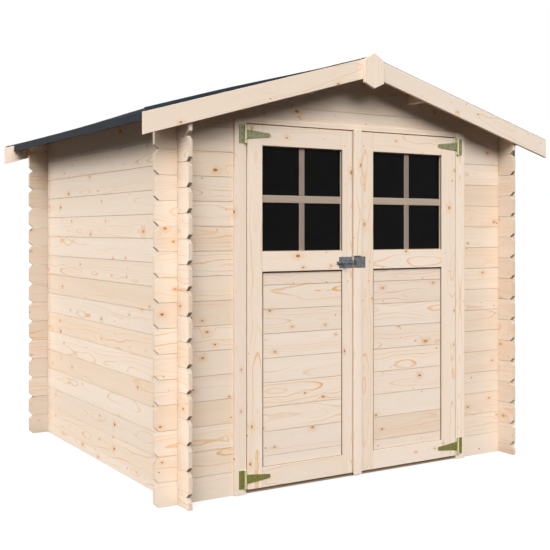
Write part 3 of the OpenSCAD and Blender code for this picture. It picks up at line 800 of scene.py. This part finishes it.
def carcass(wood, sill_shade_wood, roof_shade_wood):
    for node in ("floor_bearers", "floor_boards"):
        dress(node, "shed", wood, "floor_wood", CARCASS_EDGE)
    dress("door_sill", "shed", sill_shade_wood, "floor_wood", CARCASS_EDGE)
    for node in ("left_purlin", "right_purlin"):
        dress(node, "shed", wood, "wall_wood", CARCASS_EDGE)
    for node in ("left_roof_boards", "right_roof_boards"):
        dress(node, "shed", roof_shade_wood, "wall_wood", CARCASS_EDGE)


def opening(node):
    """The edges across and up of the opening before a pane or panel, which a groove holds all round."""
    low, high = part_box(node)
    return (low.x + LEAF_GROOVE, high.x - LEAF_GROOVE), (low.z + LEAF_GROOVE, high.z - LEAF_GROOVE)


def door_frame(side, woods, pane_x, pane_z, panel_z):
    """Stiles and rails of a leaf, with darker edges round its window and painted shade on the edges round
    its panel.
    """
    node = f"{side}_door_frame"
    low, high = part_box(node)
    members = []
    for solid in cad_solids(node):
        members += sliced(solid, 0, low.x - MM, pane_x[0] - SAW_GAP)
        members += sliced(solid, 0, pane_x[0] + SAW_GAP, pane_x[1] - SAW_GAP)
        members += sliced(solid, 0, pane_x[1] + SAW_GAP, high.x + MM)
        solid.free()
    stains = ("trim", "reveal_shade", "ledge_shade", "bead")

    def stain(face):
        middle = face.calc_center_median()
        beside = pane_x[0] - MM < middle.x < pane_x[1] + MM
        within = any(z[0] - MM < middle.z < z[1] + MM for z in (pane_z, panel_z))
        long = len(face.verts) > 3 and face.calc_area() > SMALL_FACE
        if not (beside and within and long and abs(face.normal.y) < SIDEWAYS):
            return stains.index("trim")
        if middle.z > panel_z[1] + MM:
            return stains.index("bead")
        # Faces round the panel take painted shade, upward ones a little darker.
        return stains.index("ledge_shade" if face.normal.z > UPWARD else "reveal_shade")

    materials = [woods[key] for key in stains]
    dress(node, f"{side}_door", materials, "trim_wood", FRAME_EDGE, members, stain=stain)


def door_panel(side, woods, pane_x, panel_z):
    """Boards of a leaf's lower half, with sunk strips carrying painted shadow under the lock rail and along
    the left stile.
    """
    node = f"{side}_door_panel"
    low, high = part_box(node)
    top = panel_z[1] - REBATE_H
    left = pane_x[0] + REBATE_W
    boards = []
    for solid in cad_solids(node):
        for part in sliced(solid, 0, left + SAW_GAP, high.x + MM):
            boards += sliced(part, 2, low.z - MM, top)
            part.free()
        solid.free()
    for board in boards:
        open_joint(board, BOARD_JOINT)
    sunk = low.y + REBATE_D
    strips = [
        block((low.x, sunk, low.z), (left, high.y, high.z)),
        block((left + SAW_GAP, sunk, top + SAW_GAP), (high.x, high.y, high.z)),
    ]
    stains = ("panel", "rebate_shadow", "ledge_shade")

    def stain(face):
        middle = face.calc_center_median()
        # The strip along the left stile is darker: painted shadow of the stile.
        if middle.x < left + 0.5 * SAW_GAP:
            return stains.index("ledge_shade")
        # The strip under the lock rail is darker still: painted shadow of the rail.
        return stains.index("rebate_shadow" if middle.z > top + 0.5 * SAW_GAP else "panel")

    materials = [woods[key] for key in stains]
    dress(node, f"{side}_door", materials, "wall_wood", WALL_EDGE, boards + strips, stain=stain)


def window_bars(side, woods):
    """The cross of bars before a pane: the upright in two lengths and a cross bar whose paler wood is
    painted light.
    """
    node = f"{side}_door_bars"
    low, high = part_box(node)
    middle = (low.z + high.z) / 2
    half = CROSS_BAR_H / 2
    bars = []
    for solid in cad_solids(node):
        bars += sliced(solid, 2, low.z - MM, middle - half - SAW_GAP)
        bars += sliced(solid, 2, middle - half, middle + half)
        bars += sliced(solid, 2, middle + half + SAW_GAP, high.z + MM)
        solid.free()
    stains = ("bar", "lit_cross_bar")

    def stain(face):
        across = abs(face.calc_center_median().z - middle) < half + SAW_GAP
        return stains.index("lit_cross_bar" if across else "bar")

    materials = [woods[key] for key in stains]
    dress(node, f"{side}_door", materials, "bar_wood", BAR_EDGE, bars, stain=stain)


def window_beads(side, wood, pane_x, pane_z):
    """Slim beads that hold the glass, in front of it round the window."""
    y1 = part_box(f"{side}_door_glass")[0].y - BEAD_GAP
    y0 = y1 - BEAD_T
    x0, x1 = pane_x
    z0, z1 = pane_z
    beads = [
        block((x0, y0, z0), (x0 + BEAD_W, y1, z1)),
        block((x1 - BEAD_W, y0, z0), (x1, y1, z1)),
        block((x0 + BEAD_W, y0, z0), (x1 - BEAD_W, y1, z0 + BEAD_W)),
        block((x0 + BEAD_W, y0, z1 - BEAD_W), (x1 - BEAD_W, y1, z1)),
    ]
    collected = gather(f"{side}_beads", beads, BEAD_EDGE, front=Vector((0, 1, 0)))
    settle(collected.make(f"{side}_window_beads", [wood]), f"{side}_door", "bar_wood")


def door_leaf(side, woods, glass):
    pane_x, pane_z = opening(f"{side}_door_glass")
    panel_z = opening(f"{side}_door_panel")[1]
    door_frame(side, woods, pane_x, pane_z, panel_z)
    door_panel(side, woods, pane_x, panel_z)
    window_bars(side, woods)
    window_beads(side, woods["bead"], pane_x, pane_z)
    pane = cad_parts[f"{side}_door_glass"].data
    pane.materials.clear()
    pane.materials.append(glass)


def hinges(side, hinge_metal, screw_metal):
    """The plates on a jamb and the straps on its leaf, with their screws."""
    plates = f"{side}_hinge_plates"
    straps = f"{side}_hinge_straps"
    dress(plates, "shed", hinge_metal, "hinge_metal", HINGE_EDGE)
    dress(straps, f"{side}_door", hinge_metal, "hinge_metal", HINGE_EDGE)
    sign = -1 if side == "left" else 1
    low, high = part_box(plates)
    plate_front = high.y - HINGE_STEEL_T
    strap_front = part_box(straps)[1].y - HINGE_STEEL_T
    fixed = Heads()
    moving = Heads()
    for hinge_z in (low.z + HINGE_PLATE_H / 2, high.z - HINGE_PLATE_H / 2):
        for step in (-1, 0, 1):
            x = sign * (HINGE_PIN_X + PLATE_SCREW_OFF)
            at = Vector((x, plate_front, hinge_z + step * PLATE_SCREW_STEP))
            fixed.add(at, FORWARD, PLATE_SCREW, cross=True, turn=PLATE_SCREW_TURN * step)
        for off, rise in STRAP_SCREWS:
            at = Vector((sign * (HINGE_PIN_X - off), strap_front, hinge_z + rise))
            moving.add(at, FORWARD, STRAP_SCREW, cross=True, turn=STRAP_SCREW_TURN * off)
    fixed.make(f"{side}_plate_screws", screw_metal, "shed", "hinge_metal")
    moving.make(f"{side}_strap_screws", screw_metal, f"{side}_door", "hinge_metal")


def door_bolt(bolt_metal, screw_metal):
    """The bolt, its plate and its keeper, with the screws of both."""
    for node, body in BOLT_BODIES.items():
        dress(node, body, bolt_metal, "bolt_metal", BOLT_EDGE)
    for node, places in BOLT_SCREWS.items():
        low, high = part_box(node)
        front = high.y - BOLT_STEEL_T
        middle = (low.z + high.z) / 2
        screws = Heads()
        for x in places:
            for rise in (-BOLT_SCREW_RISE, BOLT_SCREW_RISE):
                at = Vector((x, front, middle + rise))
                screws.add(at, FORWARD, BOLT_SCREW, cross=True, turn=BOLT_SCREW_TURN * x)
        screws.make(f"{node}_screws", screw_metal, BOLT_BODIES[node], "bolt_metal")


# Roof felt


def smooth(value):
    """A step from 0 to 1 with soft ends."""
    value = min(max(value, 0.0), 1.0)
    return value * value * (3 - 2 * value)


def stations(low, high, count, edges=()):
    """Places from low to high, with more of them at the given distances from both."""
    places = {low + (high - low) * k / count for k in range(count + 1)}
    for edge in edges:
        places |= {low + edge, high - edge}
    return sorted(places)


class Felt:
    """One slope of lapped felt, with a ridge cap, a flap over the eave and curled verges."""

    def __init__(self, side, nails):
        low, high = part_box(f"{side}_roof_felt")
        self.side = side
        self.sign = -1 if side == "left" else 1
        self.start = min(abs(low.x), abs(high.x))
        self.reach = max(abs(low.x), abs(high.x))
        self.front = low.y
        self.back = high.y
        self.foot = low.z
        self.ridge = high.z - FELT_T
        self.flap_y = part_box(f"{side}_wall")[1].y
        self.nails = nails
        self.verts = []
        self.faces = []
        self.seam = []
        self.flap = []

    def under(self, x):
        """Height of the felt's lower face."""
        return self.ridge - ROOF_PITCH * x

    def wave(self, x, y):
        """Wide and fine waves of felt that doesn't lie quite flat."""
        phase = WAVE_PHASE[self.side]
        wide = math.sin(5.3 * y + 2.1 * x + phase) * math.sin(6.7 * x - 1.3 * y + phase)
        fine = math.sin(23 * y + 9 * x + phase) * math.sin(17 * x + phase)
        return (0.7 * wide + 0.35 * fine + 0.6) * MM

    def rise(self, x):
        """Extra layers where courses lap."""
        layers = 0.0
        for lap in LAPS:
            if x <= lap:
                layers += smooth((x - lap + LAP_W) / (0.6 * LAP_W))
        layers = min(layers, 1.0)
        return LAP_RISE * (layers + (1.0 if x <= RIDGE_CAP else 0.0))

    def curl(self, x, y):
        """How far the edge over a bargeboard stands up, most at the eave of the front left verge."""
        share = min(x / self.reach, 1.0)
        front = smooth(1 - (y - self.front) / VERGE_CURL)
        back = BACK_LIFT[self.side] * share * smooth(1 - (self.back - y) / VERGE_CURL)
        if self.side == "right":
            return back - FRONT_SINK * front
        lifted = FRONT_LIFT * smooth((share - LIFT_START) / LIFT_RUN)
        near_eave = smooth((share - EAVE_SHARE) / (1 - EAVE_SHARE))
        loose = EAVE_LOOSE * near_eave * smooth(1 - (y - self.front) / EAVE_RUN)
        return back + lifted * max(front, loose)

    def flare(self, x, y):
        """How far the felt runs on over the end of a bargeboard."""
        over = smooth((abs(y) - self.flap_y) / FLARE_START)
        return FLARE * over * smooth((x - self.reach + FLARE_RUN) / FLARE_RUN)

    def top(self, x, y):
        """Height of the felt's upper face."""
        inside = smooth(min(y - self.front, self.back - y) / (2 * VERGE_CURL))
        layers = (self.rise(x) + self.wave(x, y)) * (0.15 + 0.85 * inside)
        return self.under(x) + FELT_T + layers + self.curl(x, y)

    def grid(self, points, seam, flap):
        """Adds a sheet given as rows of pairs of upper and lower points, closed all round."""
        first = len(self.verts)
        rows = len(points)
        columns = len(points[0])
        for row in points:
            for upper, lower in row:
                self.verts += [upper, lower]
        self.seam += [s for s in seam for _ in range(2 * columns)]
        self.flap += [flap] * (2 * rows * columns)

        def at(i, j, layer):
            return first + 2 * (i * columns + j) + layer

        for i in range(rows - 1):
            for j in range(columns - 1):
                upper = (at(i, j, 0), at(i + 1, j, 0), at(i + 1, j + 1, 0), at(i, j + 1, 0))
                lower = (at(i, j, 1), at(i, j + 1, 1), at(i + 1, j + 1, 1), at(i + 1, j, 1))
                self.faces += [upper, lower]
        for i in range(rows - 1):
            self.faces.append((at(i, 0, 0), at(i, 0, 1), at(i + 1, 0, 1), at(i + 1, 0, 0)))
            last = columns - 1
            self.faces.append((at(i, last, 0), at(i + 1, last, 0), at(i + 1, last, 1), at(i, last, 1)))
        for j in range(columns - 1):
            self.faces.append((at(0, j, 0), at(0, j + 1, 0), at(0, j + 1, 1), at(0, j, 1)))
            last = rows - 1
            self.faces.append((at(last, j, 0), at(last, j, 1), at(last, j + 1, 1), at(last, j + 1, 0)))

    def rows_down(self):
        """Places from the ridge to the eave, with more of them at laps, at the ridge cap and at the eave."""
        steps = range(1, int(self.reach / SHEET_STEP) + 1)
        last = self.reach - 2 * EAVE_STEP
        xs = [self.start] + [k * SHEET_STEP for k in steps if k * SHEET_STEP < last]
        for edge in (RIDGE_CAP, *LAPS):
            xs += [edge + place for place in LAP_PLACES]
        for lap in LAPS:
            xs += [lap - share * LAP_W for share in LAP_SHARES]
        return sorted(set(xs + [self.reach - EAVE_STEP, self.reach]))

    def sheet(self):
        """The felt on the slope, darker just below each lap."""
        over_barge = -self.flap_y - self.front
        near = [k * VERGE_STEP for k in range(1, 8)] + [over_barge - FLARE_START, over_barge]
        ys = stations(self.front, self.back, SHEET_COLUMNS, near)
        seam = []
        points = []
        for x in self.rows_down():
            below_lap = any(0 < x - edge < SEAM_W for edge in (RIDGE_CAP, *LAPS))
            seam.append(1.0 if below_lap else 0.0)
            row = []
            for y in ys:
                wide = x + self.flare(x, y)
                upper = (self.sign * wide, y, self.top(wide, y))
                row.append((upper, (self.sign * wide, y, self.under(wide))))
            points.append(row)
        self.grid(points, seam, 0.0)

    def turned_edge(self):
        """The flap nailed over the eave, with a slack lower edge."""
        ys = stations(-self.flap_y, self.flap_y, FLAP_COLUMNS)
        head = self.under(self.reach) + FLAP_HEAD
        points = []
        for share in FLAP_SHARES:
            row = []
            for y in ys:
                slack = 1.0 + math.sin(7.1 * y + 0.6) * math.sin(2.3 * y + 1.1) + 0.4 * math.sin(19 * y)
                x = self.reach + slack * FLAP_SLACK * share
                foot = self.foot + FLAP_WAVE * (1.2 + math.sin(5.1 * y) + 0.5 * math.sin(13 * y + 2))
                z = head + (foot - head) * share
                row.append(((self.sign * x, y, z), (self.sign * (x - FLAP_T), y, z)))
            points.append(row)
        self.grid(points, [0.0] * len(FLAP_SHARES), 1.0)

    def nail(self):
        """Nails along the laps, the ridge cap and both verges."""
        places = []
        for edge in (RIDGE_CAP, *LAPS):
            for k in range(LAP_NAILS):
                places.append((edge - LAP_NAIL_IN, self.front + LAP_NAIL_START + k * LAP_NAIL_STEP))
        for k in range(VERGE_NAILS):
            for y in (self.front + VERGE_NAIL_START, self.back - VERGE_NAIL_START):
                places.append((VERGE_NAIL_START + k * VERGE_NAIL_STEP, y))
        lean = Vector((self.sign * ROOF_PITCH, 0, 1)).normalized()
        for x, y in places:
            self.nails.add(Vector((self.sign * x, y, self.top(x, y))), lean, NAIL, NAIL_SEGMENTS)

    def make(self, material):
        self.sheet()
        self.turned_edge()
        self.nail()
        mesh = bpy.data.meshes.new(f"{self.side}_roof_felt_looks")
        mesh.from_pydata(self.verts, [], self.faces)
        for key, values in (("seam", self.seam), ("flap", self.flap)):
            layer = mesh.attributes.new(key, "FLOAT", "POINT")
            layer.data.foreach_set("value", values)
        solid = bmesh.new()
        solid.from_mesh(mesh)
        bmesh.ops.recalc_face_normals(solid, faces=solid.faces)
        solid.to_mesh(mesh)
        solid.free()
        mesh.materials.append(material)
        mesh.update()
        settle(link(mesh.name, mesh), "shed", "felt", f"{self.side}_roof_felt")


def felt(material, nail_metal):
    nails = Heads()
    for side in ("left", "right"):
        Felt(side, nails).make(material)
    nails.make("roof_nails", nail_metal, "shed", "bolt_metal")


# Stage


def lamp(name, azimuth, elevation, strength, spread):
    """A broad soft lamp, far away; seen from above, azimuth 0 is the front and 90 the left."""
    data = bpy.data.lights.new(name, "SUN")
    data.energy = strength
    data.angle = math.radians(spread)
    turn = math.radians(azimuth)
    rise = math.radians(elevation)
    level = math.cos(rise)
    towards = Vector((-math.sin(turn) * level, -math.cos(turn) * level, math.sin(rise)))
    link(name, data).rotation_euler = towards.to_track_quat("Z", "Y").to_euler()


def seen_rays(g):
    """One where a ray comes from the camera, a reflection or glass."""
    rays = g.add("ShaderNodeLightPath").outputs
    seen = g.math("MAXIMUM", rays["Is Camera Ray"], rays["Is Glossy Ray"])
    return g.math("MAXIMUM", seen, rays["Is Transmission Ray"])


def sky():
    """A world that shows white and lights the part only a little."""
    world = bpy.data.worlds.new("studio")
    bpy.context.scene.world = world
    g = Graph(world)
    light = g.add("ShaderNodeBackground", {"Color": WHITE, "Strength": AMBIENT})
    seen = g.add("ShaderNodeBackground", {"Color": WHITE})
    both = g.add("ShaderNodeMixShader", {0: seen_rays(g), 1: light.outputs[0], 2: seen.outputs[0]})
    g.add("ShaderNodeOutputWorld", {"Surface": both.outputs[0]})


def pale_floor():
    """A floor's material that shows nearly white, keeps a soft shadow and throws little light back."""
    material = bpy.data.materials.new("pale_floor")
    g = Graph(material)
    white = g.add("ShaderNodeEmission", {"Strength": FLOOR_GLOW})
    pale = g.add("ShaderNodeBsdfDiffuse", {"Color": (FLOOR_SHADE, FLOOR_SHADE, FLOOR_SHADE, 1)})
    dim = g.add("ShaderNodeBsdfDiffuse", {"Color": (FLOOR_BOUNCE, FLOOR_BOUNCE, FLOOR_BOUNCE, 1)})
    lit = g.add("ShaderNodeAddShader", {0: white.outputs[0], 1: pale.outputs[0]})
    both = g.add("ShaderNodeMixShader", {0: seen_rays(g), 1: dim.outputs[0], 2: lit.outputs[0]})
    g.add("ShaderNodeOutputMaterial", {"Surface": both.outputs[0]})
    return material


def floor():
    """The plain floor, just under the part."""
    mesh = bpy.data.meshes.new("floor")
    corners = [(x * FLOOR_REACH, y * FLOOR_REACH, 0) for x, y in ((-1, -1), (1, -1), (1, 1), (-1, 1))]
    mesh.from_pydata(corners, [], [(0, 1, 2, 3)])
    mesh.materials.append(pale_floor())
    piece = link("floor", mesh)
    piece.location.z = -FLOOR_DROP
    piece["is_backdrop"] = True


def camera():
    data = bpy.data.cameras.new("camera")
    data.sensor_width = SENSOR_MM
    data.lens = SENSOR_MM * FOCAL_PIXELS / IMAGE_PIXELS
    data.shift_y = (HORIZON_ROW - IMAGE_PIXELS / 2) / IMAGE_PIXELS
    piece = link("camera", data)
    piece.location = CAMERA_AT
    piece.rotation_euler = (math.radians(90), 0, -CAMERA_TURN)
    bpy.context.scene.camera = piece


def main():
    camera()
    woods = {}
    for key, (colours, traits) in WOODS.items():
        woods[key] = spruce(f"{key}_spruce", *colours, **traits)
    hinge_metal = olive_zinc("olive_zinc")
    bolt_metal = plated_steel("galvanised", "54575a", "787c7f", metallic=0.5, roughness=0.42)
    screw_metal = plated_steel("screw_steel", "3c3d2a", "585840", metallic=0.4, roughness=0.45)
    nail_metal = plated_steel("nail_steel", "5f6467", "8b9093", metallic=0.7, roughness=0.4)
    walls(woods["wall"], woods["back"])
    trim(woods["trim"])
    carcass(woods["floor"], woods["sill"], woods["roof"])
    glass = shade_painted_pane("dark_glass")
    for side in ("left", "right"):
        door_leaf(side, woods, glass)
    dress("cover_strip", "right_door", woods["trim"], "trim_wood", TRIM_EDGE)
    for side in ("left", "right"):
        hinges(side, hinge_metal, screw_metal)
    door_bolt(bolt_metal, screw_metal)
    felt(mineral_felt("slate_felt"), nail_metal)
    for name, values in LAMPS.items():
        lamp(name, *values)
    sky()
    floor()
    bpy.context.scene.view_settings.view_transform = "Standard"


main()
boxes = {"cad": cad_box, "visual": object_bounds()}
{k: [list(corner) for corner in box] for k, box in boxes.items()}
